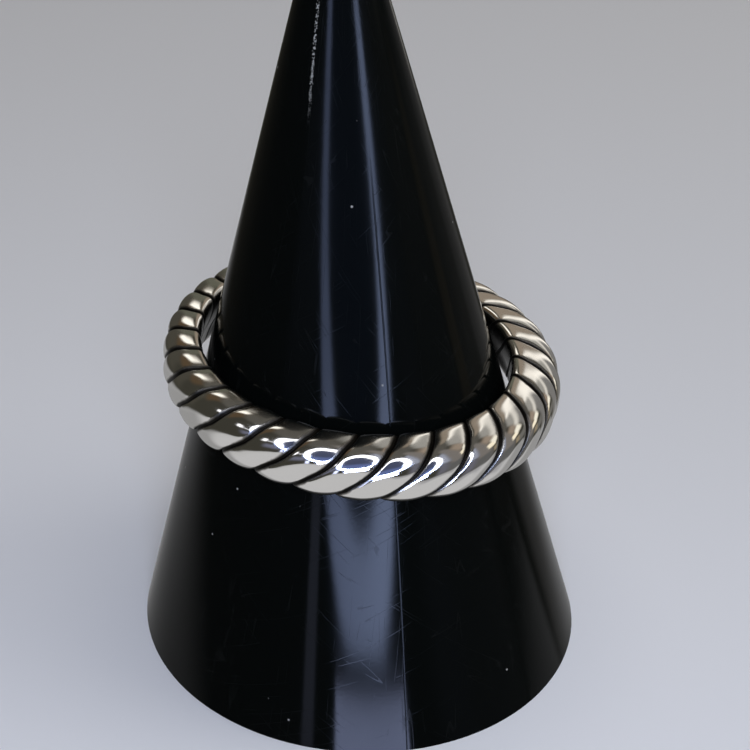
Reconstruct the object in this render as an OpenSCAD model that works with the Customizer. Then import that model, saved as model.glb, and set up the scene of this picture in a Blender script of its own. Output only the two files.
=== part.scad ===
// Rope twist ring of polished silver with darkened grooves, sitting low and a little askew
// on a plain black cone stand. All sizes are in millimetres, +Z is up, and the origin is
// the middle of the stand's foot on the table.

/* [Ring] */
// Width of the finger hole
finger_d = 18.5; // [18.3:0.02:19.1]
// Thickness of the band where it is even, from the finger to the crests of the strands
band_t = 2.52; // [2.2:0.01:3]
// Height of the band along the finger
band_h = 3.42; // [2.8:0.01:4]
// Distance of the hole to the right of the middle of the band's outline
hole_x = -0.46; // [-0.6:0.01:0]
// Distance of the hole to the back of the middle of the band's outline
hole_y = -0.36; // [-0.7:0.01:-0.2]
// Bulges counted once round the band, one for each pass of a strand
lobes = 30; // [24:1:36]
// Strands that are twisted together
strands = 3; // [3:1:5]
// Depth of the groove between two strands
groove_depth = 0.24; // [0.15:0.01:0.5]
// Degrees by which the strands crowd together on one side and spread on the other
uneven = 3.53; // [0:0.01:4]

/* [Stand] */
// Width of the stand's foot
foot_d = 27.5; // [27.5:0.1:32]
// Angle between the stand's side and its axis
taper = 15.77; // [15:0.01:15.9]
// Angle by which the axis leans to the left, because the foot was cut off square
lean = 3.18; // [3:0.01:3.3]
// Radius of the rounded tip
tip_r = 2; // [1:0.1:3]

/* [How the ring sits] */
// Drop of the ring's middle below the point where the cone's sides would meet
seat_drop = 30.7; // [29.8:0.01:31]
// Distance of the ring's middle to the right of that point
seat_x = 2.44; // [2.34:0.01:2.9]
// Distance of the ring's middle to the back of that point
seat_y = 0.31; // [-0.2:0.01:0.46]
// Slope of the ring down to the right, in degrees
slope_right = 4.26; // [2:0.01:5.6]
// Slope of the ring down to the front, in degrees
slope_front = 2.67; // [1:0.01:4.5]

/* [Hidden] */

// The band's section is two half ovals that share their height: a rounded one outside and a
// squarer one inside, which leaves the finger a straight wall with crisp rims.
half_h = band_h / 2;
inside_share = 0.361;
outer_power = 2.61;
inner_power = 4.7;

// The wall inside leans out towards the bottom, and the outside droops by this much.
wall_slant = 0.27;
droop = -0.134;

// The grooves die out between these two angles from the outward direction, so the wall
// that touches the finger has none.
groove_full_to = 80;
groove_gone_at = 144;

// A strand's back is nearly flat and turns down steeply beside the groove. The two powers
// are mixed by this share, and the back is fuller on one side than on the other.
steep_power = 10.8;
round_power = 1.9;
round_share = 0.5;
fuller_side = 0.04;
fuller_over = 0.11;

// The grooves run steeper down the outside than over the rims.
rim_swing = 4.2;

// Where round the ring the first groove lies, and where the strands are most crowded.
first_groove = 142.5;
crowded_from = 27;

// Fineness of the ring: steps over each lobe and steps round the section.
lobe_steps = 7;
section_steps = 24;
round_steps = lobes * lobe_steps;
lobe_angle = 360 / lobes;

stand_h = foot_d / (tan(taper - lean) + tan(taper + lean));
apex_x = stand_h * tan(taper - lean) - foot_d / 2;
cone_len = stand_h / cos(lean) + foot_d;
tip_drop = tip_r / sin(taper);
fine = 96;

function clamp01(x) = min(1, max(0, x));
function ease(x) = x * x * (3 - 2 * x);

// How much of the groove is left at angle v round the section.
function groove_share(v) =
    1 - ease(clamp01((abs(v) - groove_full_to) / (groove_gone_at - groove_full_to)));

// Sink of the surface at position w across a lobe: 0 on its crest and 1 in the groove.
function strand_sink(w, v) =
    let (
        across = 2 * (w - floor(w)) - 1,
        x = abs(across + (fuller_side + fuller_over * sin(v)) * (1 - across * across))
    )
    (1 - round_share) * pow(x, steep_power) + round_share * pow(x, round_power);

// Angle round the ring of position t, counted in lobes.
function ring_angle(t) =
    first_groove + lobe_angle * t - uneven * sin(lobe_angle * t - crowded_from);

// Distance from the section's middle to its outline at angle v.
function section_reach(v, wall, power) =
    pow(pow(abs(cos(v)) / wall, power) + pow(abs(sin(v)) / half_h, power), -1 / power);

// Point of the band at lobe position w and section angle v, in the ring's own frame.
function band_point(w, v) =
    let (
        u = ring_angle(w + strands * (v + rim_swing * sin(2 * v)) / 360),
        hole_r = finger_d / 2 + hole_x * cos(u) + hole_y * sin(u),
        thick = finger_d / 2 + band_t - hole_r,
        inside = cos(v) < 0,
        wall = (inside ? inside_share : 1 - inside_share) * thick,
        sink = groove_depth * strand_sink(w, v) * groove_share(v),
        reach = (1 - sink / (band_t / 2))
            * section_reach(v, wall, inside ? inner_power : outer_power),
        z = reach * sin(v),
        x = reach * cos(v) + (inside ? wall_slant * z * cos(v) : 0),
        r = hole_r + inside_share * thick + x
    )
    [r * cos(u), r * sin(u), z + droop * x];

function grid_index(i, j) =
    let (
        over = floor(j / section_steps),
        row = j - over * section_steps,
        col = i + over * strands * lobe_steps
    )
    row * round_steps + col - round_steps * floor(col / round_steps);

band_points = [
    for (j = [0:section_steps - 1])
    for (i = [0:round_steps - 1])
    band_point(i / lobe_steps, 360 * j / section_steps - 180)
];

band_faces = [
    for (j = [0:section_steps - 1])
    for (i = [0:round_steps - 1])
    for (half = [0, 1])
    half == 0
        ? [grid_index(i, j), grid_index(i, j + 1), grid_index(i + 1, j + 1)]
        : [grid_index(i, j), grid_index(i + 1, j + 1), grid_index(i + 1, j)]
];

// The whole ring is one piece of cast silver, tipped to where it came to rest on the cone.
module rope_twist_ring() {
    color("silver")
    translate([apex_x + seat_x, seat_y, stand_h - seat_drop])
    rotate([slope_front, slope_right, 0])
    polyhedron(points = band_points, faces = band_faces, convexity = 8);
}

// The stand is one solid cone with a rounded tip, cut level where it meets the table.
module cone_stand() {
    color("#17181b")
    intersection() {
        translate([apex_x, 0, stand_h])
        rotate([0, -lean, 0])
        union() {
            translate([0, 0, -cone_len])
            cylinder(h = cone_len - tip_drop + tip_r * sin(taper),
                     r1 = cone_len * tan(taper),
                     r2 = tip_r * cos(taper), $fn = fine);
            translate([0, 0, -tip_drop])
            sphere(r = tip_r, $fn = fine);
        }
        translate([-foot_d, -foot_d, 0])
        cube([2 * foot_d, 2 * foot_d, stand_h]);
    }
}

rope_twist_ring();
cone_stand();
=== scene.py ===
import math

import bpy
import numpy as np
from mathutils import Matrix, Vector


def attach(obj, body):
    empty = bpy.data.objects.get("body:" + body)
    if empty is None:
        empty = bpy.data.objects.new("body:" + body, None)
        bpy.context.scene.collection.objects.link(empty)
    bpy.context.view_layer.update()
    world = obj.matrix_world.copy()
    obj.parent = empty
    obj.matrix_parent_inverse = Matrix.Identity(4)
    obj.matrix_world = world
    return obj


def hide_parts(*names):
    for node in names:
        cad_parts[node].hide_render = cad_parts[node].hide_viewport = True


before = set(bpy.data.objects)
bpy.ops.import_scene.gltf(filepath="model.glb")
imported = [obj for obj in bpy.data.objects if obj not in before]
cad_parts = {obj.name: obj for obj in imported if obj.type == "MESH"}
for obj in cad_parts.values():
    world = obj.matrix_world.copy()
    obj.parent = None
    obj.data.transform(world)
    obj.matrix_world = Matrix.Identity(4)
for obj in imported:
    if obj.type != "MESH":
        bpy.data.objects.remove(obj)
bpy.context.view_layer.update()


# The camera looks down at the ring from the front, close to it, with the picture turned
# a few degrees. Its distance and offsets are measured from the middle of the stand's foot.
MM = 0.001
VIEW_DOWN = math.radians(31.0)
VIEW_ROLL = math.radians(2.78)
VIEW_DISTANCE = 97.85 * MM
VIEW_RIGHT = 0.965 * MM
VIEW_UP = 14.59 * MM
FOCAL_PER_WIDTH = 2.0

level_right = Vector((1, 0, 0))
level_up = Vector((0, math.sin(VIEW_DOWN), math.cos(VIEW_DOWN)))
view_back = Vector((0, -math.cos(VIEW_DOWN), math.sin(VIEW_DOWN)))
view_right = math.cos(VIEW_ROLL) * level_right + math.sin(VIEW_ROLL) * level_up
view_up = math.cos(VIEW_ROLL) * level_up - math.sin(VIEW_ROLL) * level_right
eye = VIEW_DISTANCE * view_back + VIEW_RIGHT * view_right + VIEW_UP * view_up

camera_data = bpy.data.cameras.new("camera")
camera_data.sensor_width = 36
camera_data.lens = FOCAL_PER_WIDTH * camera_data.sensor_width
camera_data.clip_start = 0.005
camera = bpy.data.objects.new("camera", camera_data)
camera.matrix_world = Matrix.Translation(eye) @ Matrix(
    (view_right, view_up, view_back)).transposed().to_4x4()
bpy.context.scene.collection.objects.link(camera)
bpy.context.scene.camera = camera


# The stand is a glossy cone of black plastic, moulded in one piece, with a rounded tip. Its
# foot is cut a little off square, so that its axis leans to the left.
FOOT_W = 27.5 * MM
TAPER = math.radians(15.77)
LEAN = math.radians(3.18)
TIP_R = 2.0 * MM


class Shade:
    """A shader socket that takes part in arithmetic."""

    def __init__(self, tree, socket):
        self.tree = tree
        self.socket = socket

    def math(self, operation, *others, swap=False):
        values = [self, *others]
        if swap:
            values.reverse()
        return add_node(self.tree, "ShaderNodeMath", {"operation": operation}, values)

    def __add__(self, other):
        return self.math("ADD", other)

    __radd__ = __add__

    def __mul__(self, other):
        return self.math("MULTIPLY", other)

    __rmul__ = __mul__

    def __sub__(self, other):
        return self.math("SUBTRACT", other)

    def __rsub__(self, other):
        return self.math("SUBTRACT", other, swap=True)

    def __truediv__(self, other):
        return self.math("DIVIDE", other)

    def __rtruediv__(self, other):
        return self.math("DIVIDE", other, swap=True)


def add_node(tree, kind, settings, values, output=0):
    """A new node's output. Sockets go by number where a node has several of one name."""
    node = tree.nodes.new(kind)
    for name, setting in settings.items():
        setattr(node, name, setting)
    sockets = values.items() if isinstance(values, dict) else enumerate(values)
    for name, value in sockets:
        if isinstance(value, Shade):
            tree.links.new(value.socket, node.inputs[name])
        else:
            node.inputs[name].default_value = value
    return Shade(tree, node.outputs[output])


def new_material(name, **constants):
    """A material, with the sockets that are the same all over it named as in Base_Color."""
    made = bpy.data.materials.new(name)
    made.use_nodes = True
    shader = made.node_tree.nodes["Principled BSDF"]
    for socket, value in constants.items():
        shader.inputs[socket.replace("_", " ")].default_value = value
    return made, made.node_tree, shader


def noise(tree, place, scale, detail):
    """Even noise from 0 to 1, with features about 1 / scale metres wide."""
    return add_node(tree, "ShaderNodeTexNoise", {},
                    {"Vector": place, "Scale": scale, "Detail": detail})


def spread(value, none_at, full_at):
    """A smooth rise from 0 to 1 between two values, or a fall if the second is the lower."""
    return add_node(value.tree, "ShaderNodeMapRange", {"interpolation_type": "SMOOTHSTEP"},
                    {"Value": value, "From Min": none_at, "From Max": full_at})


def mixed(tree, share, under, over):
    """One colour laid over another, to this share."""
    return add_node(tree, "ShaderNodeMix", {"data_type": "RGBA"},
                    {0: share, 6: under, 7: over}, output=2)


def stored(tree, name):
    """The value that new_values put at the points of the mesh."""
    return add_node(tree, "ShaderNodeAttribute", {"attribute_name": name}, [], output=2)


def new_values(piece, name, values):
    made = piece.data.attributes.new(name, "FLOAT", "POINT")
    made.data.foreach_set("value", np.ravel(values).astype(np.float32))


def new_piece(name, points, faces, made):
    mesh = bpy.data.meshes.new(name)
    mesh.from_pydata(points, [], faces)
    mesh.update()
    mesh.polygons.foreach_set("use_smooth", [True] * len(mesh.polygons))
    mesh.materials.append(made)
    piece = bpy.data.objects.new(name, mesh)
    bpy.context.scene.collection.objects.link(piece)
    return piece


APEX_H = FOOT_W / (math.tan(TAPER - LEAN) + math.tan(TAPER + LEAN))
APEX = Vector((APEX_H * math.tan(TAPER - LEAN) - FOOT_W / 2, 0, APEX_H))
AXIS_DOWN = Vector((math.sin(LEAN), 0, -math.cos(LEAN)))
AXIS_SIDE = Vector((math.cos(LEAN), 0, math.sin(LEAN)))
AXIS_BACK = Vector((0, 1, 0))


def cone_point(round_angle, down, radius):
    """The point so far down the axis from the apex, and so far out from it."""
    out = math.cos(round_angle) * AXIS_SIDE + math.sin(round_angle) * AXIS_BACK
    return APEX + down * AXIS_DOWN + radius * out


def down_to_floor(round_angle):
    """How far down the axis the cone's side reaches the floor, at this angle."""
    way = AXIS_DOWN + math.tan(TAPER) * (
        math.cos(round_angle) * AXIS_SIDE + math.sin(round_angle) * AXIS_BACK)
    return -APEX.z / way.z


CONE_SIDES = 192
CONE_RINGS = 40
TIP_RINGS = 12
tip_middle = TIP_R / math.sin(TAPER)
cone_points = [tuple(APEX + (tip_middle - TIP_R) * AXIS_DOWN)]
for ring in range(1, TIP_RINGS + 1):
    turn = (math.pi / 2 - TAPER) * ring / TIP_RINGS
    for side in range(CONE_SIDES):
        angle = 2 * math.pi * side / CONE_SIDES
        cone_points.append(tuple(cone_point(
            angle, tip_middle - TIP_R * math.cos(turn), TIP_R * math.sin(turn))))
side_start = tip_middle - TIP_R * math.sin(TAPER)
for ring in range(1, CONE_RINGS + 1):
    for side in range(CONE_SIDES):
        angle = 2 * math.pi * side / CONE_SIDES
        down = side_start + (down_to_floor(angle) - side_start) * ring / CONE_RINGS
        cone_points.append(tuple(cone_point(angle, down, down * math.tan(TAPER))))
cone_faces = []
for side in range(CONE_SIDES):
    after = (side + 1) % CONE_SIDES
    cone_faces.append((0, 1 + side, 1 + after))
    for ring in range(TIP_RINGS + CONE_RINGS - 1):
        top = 1 + ring * CONE_SIDES
        low = top + CONE_SIDES
        cone_faces.append((top + side, low + side, low + after, top + after))
foot = len(cone_points)
cone_points += cone_points[-CONE_SIDES:]
cone_faces.append(tuple(range(foot, foot + CONE_SIDES))[::-1])

black_plastic, tree, shader = new_material("black_plastic", IOR=1.2)
black_cone = new_piece("black_cone", cone_points, cone_faces, black_plastic)

# Its marks are laid out over its surface in millimetres, across from the middle of the front
# and down from the apex: a fine line left by the mould, a scuffed streak near the tip, fine
# scratches and a few specks of dust. The line and the streak lie at these angles from the
# front at MARKS_FROM, and turn by the second angle for each millimetre further down.
MARKS_FROM = 8.5
ACROSS_PER_RADIAN = 8
SEAM_AT = math.radians(20.3)
SEAM_TURN = math.radians(-0.152)
SCUFF_AT = math.radians(-26.5)
SCUFF_TURN = math.radians(0.33)
from_apex = (np.array(cone_points) - np.array(APEX)) / MM
down = from_apex @ np.array(AXIS_DOWN)
turned = np.arctan2(from_apex @ np.array(AXIS_SIDE), -from_apex @ np.array(AXIS_BACK))
out_from_axis = down * math.tan(TAPER)
new_values(black_cone, "down", down)
new_values(black_cone, "across", turned * ACROSS_PER_RADIAN)
for mark, start_angle, turn_per_mm in (
        ("from_seam", SEAM_AT, SEAM_TURN), ("from_scuff", SCUFF_AT, SCUFF_TURN)):
    mark_angle = start_angle + turn_per_mm * (down - MARKS_FROM)
    new_values(black_cone, mark, (turned - mark_angle) * out_from_axis)

place = add_node(tree, "ShaderNodeTexCoord", {}, [], output=3)
across = stored(tree, "across")
low = stored(tree, "down")


# A scratch follows the middle height of noise that is stretched along it, and is broken by
# coarser noise. Each family takes its own slice of both, which its angle in radians picks.
SCRATCH_STRETCH = 0.05
SCRATCH_CORE = 0.3
LINE_SLICES = 9
BREAKS_ACROSS = 1.3
BREAKS_ALONG = 0.4
BREAK_SLICES = 5
BREAK_SLICES_FROM = 4
BREAKS = (0.52, 0.62)


def scratches(turn, per_mm, wide):
    """Thin broken lines that run down the surface, turned by so many degrees."""
    turn = math.radians(turn)
    aside = across * math.cos(turn) + low * math.sin(turn)
    along = low * math.cos(turn) - across * math.sin(turn)
    lines = add_node(tree, "ShaderNodeCombineXYZ", {},
                     [aside * per_mm, along * (per_mm * SCRATCH_STRETCH), turn * LINE_SLICES])
    ridge = (noise(tree, lines, 1.0, detail=0) - 0.5).math("ABSOLUTE")
    places = add_node(tree, "ShaderNodeCombineXYZ", {},
                      [aside * BREAKS_ACROSS, along * BREAKS_ALONG,
                       turn * BREAK_SLICES + BREAK_SLICES_FROM])
    kept = spread(noise(tree, places, 1.0, detail=1), *BREAKS)
    return spread(ridge, wide, wide * SCRATCH_CORE) * kept


# Fineness of each kind of unevenness, in features to the metre.
DENTS = 240
HAZE = 260
DUSTY_PATCHES = 520
DUST_DOTS = 560.0
SPECKS = 5200
SCUFF_GAPS = 10000
GRIT = 12000

# Where each mark ends and where it is full: in millimetres from its middle line or down from
# the apex, or by the height of the noise that breaks it up.
SCUFF_EDGE = (0.09, 0.027)
SCUFF_RAGGED = 0.24
SCUFF_LOW_END = (14.5, 11.5)
SCUFF_BROKEN = (0.44, 0.58)
SEAM_EDGE = (0.055, 0.02)
SEAM_HIGH_END = (14, 20)
DOT_EDGE = (0.05, 0.02)
DOTS_FALL = (0.48, 0.54)
WORN_DULL = (27, 15)

CLEAN_BLACK = (0.0020, 0.0026, 0.0024, 1)
PALE_MARK = (0.55, 0.54, 0.5, 1)

haze = noise(tree, place, HAZE, detail=3)
specks = noise(tree, place, SPECKS, detail=2)
scratched = scratches(4, 2.2, 0.016) * 0.8 + scratches(-38, 2.0, 0.010) + scratches(63, 1.7, 0.009)
grit = noise(tree, place, GRIT, detail=2)
from_scuff = stored(tree, "from_scuff").math("ABSOLUTE") + (grit - 0.5) * SCUFF_RAGGED
scuffed = (spread(from_scuff, *SCUFF_EDGE) * spread(low, *SCUFF_LOW_END)
           * spread(noise(tree, place, SCUFF_GAPS, detail=2), *SCUFF_BROKEN))
from_seam = stored(tree, "from_seam").math("ABSOLUTE")
seam = spread(low, *SEAM_HIGH_END) * spread(from_seam, *SEAM_EDGE)
dots = add_node(tree, "ShaderNodeTexVoronoi", {}, {"Vector": place, "Scale": DUST_DOTS})
dusty = spread(dots, *DOT_EDGE) * spread(noise(tree, place, DUSTY_PATCHES, detail=0), *DOTS_FALL)

# How much each mark pales the plastic, how much it roughens the moulded skin, and its height
# in metres, which is a few thousandths of a millimetre at most.
paler = dusty * 0.6 + scuffed * 0.6 + scratched * 0.004
tone = mixed(tree, paler, CLEAN_BLACK, PALE_MARK)
tree.links.new(tone.socket, shader.inputs["Base Color"])
rough = (0.05 + 0.06 * haze + 0.06 * spread(low, *WORN_DULL) + 0.06 * scratched
         + 0.35 * scuffed + 0.2 * seam + 0.4 * dusty)
tree.links.new(rough.socket, shader.inputs["Roughness"])
height = (noise(tree, place, DENTS, detail=1) * 3.5e-6 + specks * 0.5e-6
          - scratched * 0.4e-6 - seam * 3e-6 + scuffed * 4e-6)
bump = add_node(tree, "ShaderNodeBump", {}, {"Strength": 1.0, "Distance": 1.0, "Height": height})
tree.links.new(bump.socket, shader.inputs["Normal"])
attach(black_cone, "root")
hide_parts("cone_stand")


# The ring is one piece of cast silver. Its outside is worked into bulging strands that wind
# round it, with darkened grooves between them, and its inside is a straight dull wall. It is
# pushed down over the cone and lies on it a little tilted.
FINGER_R = 9.25 * MM
BAND_T = 2.52 * MM
HALF_H = 1.71 * MM
HOLE_X = -0.46 * MM
HOLE_Y = -0.36 * MM
INSIDE_SHARE = 0.361
OUTER_POWER = 2.61
INNER_POWER = 4.7
WALL_SLANT = 0.27
DROOP = -0.134
LOBES = 30
STRANDS = 3
GROOVE_DEPTH = 0.24 * MM
GROOVE_FULL_TO = math.radians(80)
GROOVE_GONE_AT = math.radians(144)
STEEP_POWER = 10.8
ROUND_POWER = 1.9
ROUND_SHARE = 0.5
FULLER_SIDE = 0.04
FULLER_OVER = 0.11
RIM_SWING = math.radians(4.2)
FIRST_GROOVE = math.radians(142.5)
UNEVEN = math.radians(3.53)
CROWDED_FROM = math.radians(27)
SEAT = APEX + Vector((2.44, 0.31, -30.7)) * MM
SLOPE_RIGHT = math.radians(4.26)
SLOPE_FRONT = math.radians(2.67)
LOBE_STEPS = 28
SECTION_STEPS = 96


def ease(x):
    x = np.clip(x, 0, 1)
    return x * x * (3 - 2 * x)


def strand_sink(w, v):
    """How far the surface lies below a bulge's crown, as a share of the groove's depth.

    w counts the bulges round the ring, and v is the angle round its section from the outside.
    """
    across = 2 * (w - np.floor(w)) - 1
    x = abs(across + (FULLER_SIDE + FULLER_OVER * np.sin(v)) * (1 - across * across))
    return (1 - ROUND_SHARE) * x ** STEEP_POWER + ROUND_SHARE * x ** ROUND_POWER


def ring_angle(t):
    """The angle round the ring at t bulges, which are crowded a little on one side."""
    turned = 2 * math.pi / LOBES * t
    return FIRST_GROOVE + turned - UNEVEN * np.sin(turned - CROWDED_FROM)


columns = np.arange(LOBES * LOBE_STEPS)
rows = np.arange(SECTION_STEPS)
w, v = np.meshgrid(columns / LOBE_STEPS, 2 * math.pi * rows / SECTION_STEPS - math.pi)
around = ring_angle(w + STRANDS * (v + RIM_SWING * np.sin(2 * v)) / (2 * math.pi))
hole_r = FINGER_R + HOLE_X * np.cos(around) + HOLE_Y * np.sin(around)
thick = FINGER_R + BAND_T - hole_r
inside = np.cos(v) < 0
wall = np.where(inside, INSIDE_SHARE, 1 - INSIDE_SHARE) * thick
power = np.where(inside, INNER_POWER, OUTER_POWER)
sink = strand_sink(w, v)
groove_share = 1 - ease((abs(v) - GROOVE_FULL_TO) / (GROOVE_GONE_AT - GROOVE_FULL_TO))
reach = (1 - GROOVE_DEPTH * sink * groove_share / (BAND_T / 2)) * (
    abs(np.cos(v) / wall) ** power + abs(np.sin(v) / HALF_H) ** power) ** (-1 / power)
height = reach * np.sin(v)
out = reach * np.cos(v) + np.where(inside, WALL_SLANT * height * np.cos(v), 0)
radius = hole_r + INSIDE_SHARE * thick + out
flat = np.stack(
    [radius * np.cos(around), radius * np.sin(around), height + DROOP * out], -1)
tip = np.array(Matrix.Rotation(SLOPE_RIGHT, 3, "Y") @ Matrix.Rotation(SLOPE_FRONT, 3, "X"))
ring_points = flat.reshape(-1, 3) @ tip.T + np.array(SEAT)


def ring_index(column, row):
    """A point's number. Once round the section, the strands have moved on by STRANDS."""
    over, row = divmod(row, SECTION_STEPS)
    return row * len(columns) + (column + over * STRANDS * LOBE_STEPS) % len(columns)


ring_faces = [
    (ring_index(i, j), ring_index(i + 1, j), ring_index(i + 1, j + 1), ring_index(i, j + 1))
    for j in rows for i in columns]

silver, tree, shader = new_material("oxidised_silver", Metallic=1.0)
twist_ring = new_piece("twist_ring", [tuple(p) for p in ring_points], ring_faces, silver)

# The polish is bright on the outside, a little duller over the top, and gives way to a dull wall
# inside, which is painted dark as painted shade and a painted reflection of the black cone. The
# painted dark starts further over the rim on one side of the ring. The grooves are blackened,
# with grainy grey flanks, and a faint warm stain spreads from them.
PAINTED_WALL_FROM = np.radians(114)
PAINTED_WALL_FROM_VARIES = np.radians(9)
PAINTED_WALL_LATEST_AT = np.radians(20)
PAINTED_WALL_SOFT = np.radians(16)
TOP_FROM = np.radians(35)
TOP_SOFT = np.radians(45)
new_values(twist_ring, "sunk", sink)
painted_wall_from = PAINTED_WALL_FROM + PAINTED_WALL_FROM_VARIES * np.cos(around - PAINTED_WALL_LATEST_AT)
# Where the inner wall's painted shade and painted reflection of the black cone begin.
new_values(twist_ring, "wall_painted_dark", ease((abs(v) - painted_wall_from) / PAINTED_WALL_SOFT))
new_values(twist_ring, "over_top", ease((v - TOP_FROM) / TOP_SOFT))

# Fineness of each kind of unevenness, in features to the metre.
PATCHES = 420
WAVES = 900
GRAIN = 2500
PITS = 7000

# How deep in the groove each darkening begins and is full, as a share of its depth, and how
# far the grain and the patches shift that.
FLANK_AT = (0.31, 0.47)
FLANK_GRAINY = 0.24
FLANK_PATCHY = 0.14
BLACK_AT = (0.42, 0.62)
BLACK_GRAINY = 0.2
STAIN_AT = (0.25, 0.8)
STAIN_PATCHY = 0.5
STAIN_SHARE = 0.22

BRIGHT = (0.93, 0.915, 0.88, 1)
STAINED = (0.70, 0.64, 0.56, 1)
GREY_DARK = (0.075, 0.07, 0.062, 1)
GREY_PALE = (0.32, 0.305, 0.28, 1)
BLACKENED = (0.017, 0.015, 0.012, 1)
# The inner wall's colours are painted shade and a painted reflection of the black cone.
WALL_PAINTED_SHADE_DARK = (0.02, 0.02, 0.021, 1)
WALL_PAINTED_SHADE_PALE = (0.07, 0.068, 0.063, 1)

place = add_node(tree, "ShaderNodeTexCoord", {}, [], output=3)
sunk = stored(tree, "sunk")
grain = noise(tree, place, GRAIN, detail=3)
patches = noise(tree, place, PATCHES, detail=2)
wall_painted_dark = stored(tree, "wall_painted_dark")
over_top = stored(tree, "over_top")
flank = spread(sunk + (grain - 0.5) * FLANK_GRAINY + (patches - 0.5) * FLANK_PATCHY, *FLANK_AT)
dark = spread(sunk + (grain - 0.5) * BLACK_GRAINY, *BLACK_AT)
stain = spread(sunk + (patches - 0.5) * STAIN_PATCHY, *STAIN_AT) * STAIN_SHARE
tone = mixed(tree, stain, BRIGHT, STAINED)
tone = mixed(tree, flank, tone, mixed(tree, grain, GREY_DARK, GREY_PALE))
tone = mixed(tree, dark, tone, BLACKENED)
# The inner wall is painted dark: painted shade and a painted reflection of the black cone.
tone = mixed(tree, wall_painted_dark, tone, mixed(tree, patches, WALL_PAINTED_SHADE_DARK, WALL_PAINTED_SHADE_PALE))
tree.links.new(tone.socket, shader.inputs["Base Color"])

# The polish is rougher where the metal is tarnished and on the inner wall. The heights are in
# metres.
rough = (0.05 + 0.05 * patches + 0.02 * grain + 0.06 * over_top
         + 0.25 * flank + 0.15 * dark + 0.12 * wall_painted_dark)
tree.links.new(rough.socket, shader.inputs["Roughness"])
waves = noise(tree, place, WAVES, detail=1)
pits = noise(tree, place, PITS, detail=2)
height = waves * 4e-6 + grain * 0.6e-6 + flank * pits * 9e-6
bump = add_node(tree, "ShaderNodeBump", {}, {"Strength": 1.0, "Distance": 1.0, "Height": height})
tree.links.new(bump.socket, shader.inputs["Normal"])
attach(twist_ring, "root")
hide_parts("rope_twist_ring")


# The table is a plain pale floor, lit by soft boxes that the ring and the cone don't mirror.
# What they do mirror is the studio round them, which is drawn by direction further down.
FLOOR_R = 1.5
FLOOR_PALE = (0.72, 0.72, 0.72, 1)
floor_made, tree, shader = new_material(
    "pale_floor", Base_Color=FLOOR_PALE, Roughness=0.9, Specular_IOR_Level=0.0)
floor_points = [(FLOOR_R * x, FLOOR_R * y, 0) for x, y in ((-1, -1), (1, -1), (1, 1), (-1, 1))]
floor = new_piece("floor", floor_points, [(0, 1, 2, 3)], floor_made)
floor.visible_glossy = False


def soft_box(name, place, width, power, colour):
    """A round lamp, this wide in metres and strong in watts, that faces the stand's foot."""
    lamp = bpy.data.lights.new(name, "AREA")
    lamp.shape = "DISK"
    lamp.size = width
    lamp.energy = power
    lamp.color = colour
    box = bpy.data.objects.new(name, lamp)
    facing = Vector(place).to_track_quat("Z", "Y").to_matrix().to_4x4()
    box.matrix_world = Matrix.Translation(place) @ facing
    box.visible_glossy = False
    bpy.context.scene.collection.objects.link(box)


soft_box("light_over", (0.06, 0.05, 0.6), 0.8, 2.08, (1, 0.985, 1))
soft_box("light_right", (0.4, 0.0, 0.3), 0.35, 0.5, (1, 1, 1))
soft_box("light_near", (0.005, -0.13, 0.10), 0.07, 0.165, (0.68, 0.765, 1))

# The studio as the silver sees it: a ring light round the camera, a tall window behind on
# the right, a few paler and warmer cards, and a dim room between them over the pale table.
# Bearings are counted from the front, positive to the right, and lifts from level, upwards.
world = bpy.data.worlds.new("studio")
world.use_nodes = True
tree = world.node_tree
DEGREE = 180 / math.pi
way = add_node(tree, "ShaderNodeTexCoord", {}, [])
east = add_node(tree, "ShaderNodeSeparateXYZ", {}, [way])
north = Shade(tree, east.socket.node.outputs["Y"])
rise = Shade(tree, east.socket.node.outputs["Z"])
bearing = east.math("ARCTAN2", north * -1) * DEGREE
lift = rise.math("ARCSINE") * DEGREE


def card(across, width, up, height, soft):
    """How much of a soft-edged card at this bearing and lift a direction meets."""
    aside = add_node(tree, "ShaderNodeMath", {"operation": "WRAP"},
                     [bearing - across, 180.0, -180.0]).math("ABSOLUTE")
    above = (lift - up).math("ABSOLUTE")
    return (spread(aside, width / 2 + soft, width / 2 - soft)
            * spread(above, height / 2 + soft, height / 2 - soft))


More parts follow.
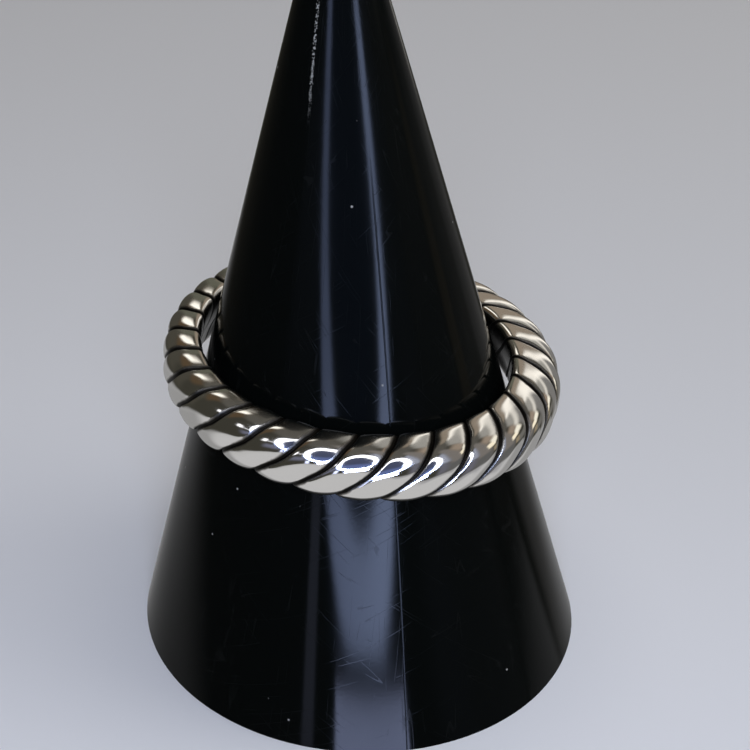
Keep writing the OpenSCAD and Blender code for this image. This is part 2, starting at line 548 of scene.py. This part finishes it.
# Each card's bearing, width, lift, height and softness in degrees, and its colour.
DIM_ROOM = (0.042, 0.040, 0.032, 1)
cards = (
    (-130, 70, 48, 36, 10, (0.085, 0.058, 0.034, 1)),
    (-172, 24, 5, 60, 8, (0.11, 0.11, 0.085, 1)),
    (-154, 19, 48, 24, 5, (1.25, 1.2, 1.1, 1)),
    (-135, 50, 8, 46, 10, (0.06, 0.056, 0.045, 1)),
    (0, 360, 80, 30, 8, (0.09, 0.085, 0.075, 1)),
    (75, 32, 30, 90, 8, (0.18, 0.165, 0.155, 1)),
    (53, 16, 35, 50, 6, (0.30, 0.32, 0.40, 1)),
    (73, 34, -12, 26, 6, (0.11, 0.11, 0.11, 1)),
    (50, 16, -8, 34, 6, (0.13, 0.13, 0.16, 1)),
    (105, 32, 42, 24, 8, (0.30, 0.24, 0.19, 1)),
    (139, 30, 0, 56, 5, (0.19, 0.185, 0.18, 1)),
    (137, 34, 50, 22, 6, (0.32, 0.31, 0.29, 1)),
    (170, 20, 30, 70, 5, (0.26, 0.215, 0.17, 1)),
    (112, 24, -5, 16, 4, (0.15, 0.145, 0.135, 1)),
    (99, 10, -2, 14, 2, (0.28, 0.23, 0.16, 1)),
    (95, 20, 18, 14, 3, (1.0, 0.9, 0.7, 1)),
    (110, 20, 22, 16, 4, (0.95, 0.90, 0.78, 1)),
    (138, 40, 32, 13, 5, (0.70, 0.67, 0.62, 1)),
    (156, 7, 22, 66, 3, (1.1, 1.05, 0.97, 1)),
    (-38, 24, 2, 14, 6, (0.14, 0.145, 0.20, 1)),
    (-56, 10, 24, 12, 3, (1.6, 1.6, 1.7, 1)),
    (-41, 20, 22, 2.2, 0.6, (1.2, 1.2, 1.3, 1)),
)
room = DIM_ROOM
for across, width, up, height, soft, colour in cards:
    room = mixed(tree, card(across, width, up, height, soft), room, colour)

# The table's far edge lies at this lift, and steps by so much between two bearings. The edge
# is softer at the sides, and the table is dimmer along it on the right and towards the back.
EDGE_LIFT = -17
EDGE_STEPS = ((5, 35, -11), (84, 96, 8), (114, 124, -8), (158, 176, 8), (-20, -60, -7))
EDGE_SOFT = (-1.5, 1.5)
SOFTER_SIDES = (60, 100)
SOFTER_BY = 2.5
DIM_AT = 50
DIM_HALF_W = (40, 20)
DIM_DEPTH = (-6, 6)
FURTHER_IN = (2, 8)
SHADED_FROM = (85, 105)
SHADED_BELOW = (-12, -20)
TABLE_EDGE = (0.5, 0.5, 0.51, 1)
TABLE_DIM = (0.30, 0.30, 0.32, 1)
TABLE = (0.52, 0.52, 0.535, 1)
TABLE_SHADED = (0.30, 0.30, 0.305, 1)
edge = EDGE_LIFT
for first, last, step in EDGE_STEPS:
    edge = edge + spread(bearing, first, last) * step
aside = bearing.math("ABSOLUTE")
below = (edge - lift) / (1 + spread(aside, *SOFTER_SIDES) * SOFTER_BY)
on_table = spread(below, *EDGE_SOFT)
room = mixed(tree, on_table, room, TABLE_EDGE)
dim = spread(below, *DIM_DEPTH) * spread((bearing - DIM_AT).math("ABSOLUTE"), *DIM_HALF_W)
room = mixed(tree, dim, room, TABLE_DIM)
room = mixed(tree, spread(below, *FURTHER_IN), room, TABLE)
shaded = spread(lift, *SHADED_BELOW) * spread(aside, *SHADED_FROM)
room = mixed(tree, shaded * on_table, room, TABLE_SHADED)

# The ring light ends at this level, which rises a little to the right. Under the gap below
# it lies a bright patch, with a narrow faint one to its left.
LEVEL_RISE = 0.035
LIGHT_END = (-10.2, -9.7)
PATCH_TOP = (-11.3, -11.8)
PATCH = (10.5, 12.3, 19.5, 1)
FAINT_PATCH = (1.1, 1.2, 1.7, 1)
level = lift - bearing * LEVEL_RISE
room = mixed(tree, card(9, 34, -13.5, 7, 0.4) * spread(level, *PATCH_TOP), room, PATCH)
room = mixed(tree, card(-21, 5.4, -10.5, 11, 0.8), room, FAINT_PATCH)

# The ring light is seen as a circle round its middle, stronger on the right and low down,
# and wider towards the inside high up. It frames the blue dusk behind the camera.
LIGHT_BEARING = math.radians(5.5)
LIGHT_LIFT = math.radians(26)
GLOW_AT = 33.9
GLOW_HALF_W = 2.8
GLOW_SOFT = 1.0
GLOW_LEFT = (4.0, 5.0, 8.4, 1)
GLOW_RIGHT = (8.8, 11.0, 17.5, 1)
GLOW_HIGH = (2.8, 2.9, 3.2, 1)
LEFT_TO_RIGHT = (-30, 40)
LOW_DOWN = (0, -6)
LOW_STRONGER = 0.5
HIGH_UP = (13, 22)
WIDER_UP = (4, 20)
WIDER_BY = 3
DUSK_LOW = (0.11, 0.15, 0.34, 1)
DUSK_HIGH = (0.06, 0.072, 0.13, 1)
DUSK_UP = (8, 20)
DUSK_EDGE = (31, 26)
middle = (math.cos(LIGHT_LIFT) * math.sin(LIGHT_BEARING),
          -math.cos(LIGHT_LIFT) * math.cos(LIGHT_BEARING), math.sin(LIGHT_LIFT))
from_middle = add_node(tree, "ShaderNodeVectorMath", {"operation": "DOT_PRODUCT"},
                       [way, middle], output=1).math("ARCCOSINE") * DEGREE
dusk = mixed(tree, spread(lift, *DUSK_UP), DUSK_LOW, DUSK_HIGH)
room = mixed(tree, spread(from_middle, *DUSK_EDGE), room, dusk)
glow = mixed(tree, spread(bearing, *LEFT_TO_RIGHT), GLOW_LEFT, GLOW_RIGHT)
stronger = 1 + spread(lift, *LOW_DOWN) * LOW_STRONGER
glow = add_node(tree, "ShaderNodeVectorMath", {"operation": "SCALE"}, {0: glow, 3: stronger})
glow = mixed(tree, spread(lift, *HIGH_UP), glow, GLOW_HIGH)
wider = spread(lift, *WIDER_UP) * WIDER_BY
off = (from_middle - GLOW_AT + wider).math("ABSOLUTE") - wider
on_ring = (spread(off, GLOW_HALF_W + GLOW_SOFT, GLOW_HALF_W - GLOW_SOFT)
           * spread(level, *LIGHT_END))
room = mixed(tree, on_ring, room, glow)

# Past the floor the camera itself sees a plain pale surround, and the floor isn't lit by the
# studio but by the lamps alone.
SURROUND = (0.5, 0.5, 0.52, 1)
sight = add_node(tree, "ShaderNodeLightPath", {}, [])
seen = mixed(tree, sight, room, SURROUND)
tree.links.new(seen.socket, tree.nodes["Background"].inputs["Color"])
bpy.context.scene.world = world
world.cycles_visibility.diffuse = False
bpy.context.scene.view_settings.view_transform = "Standard"
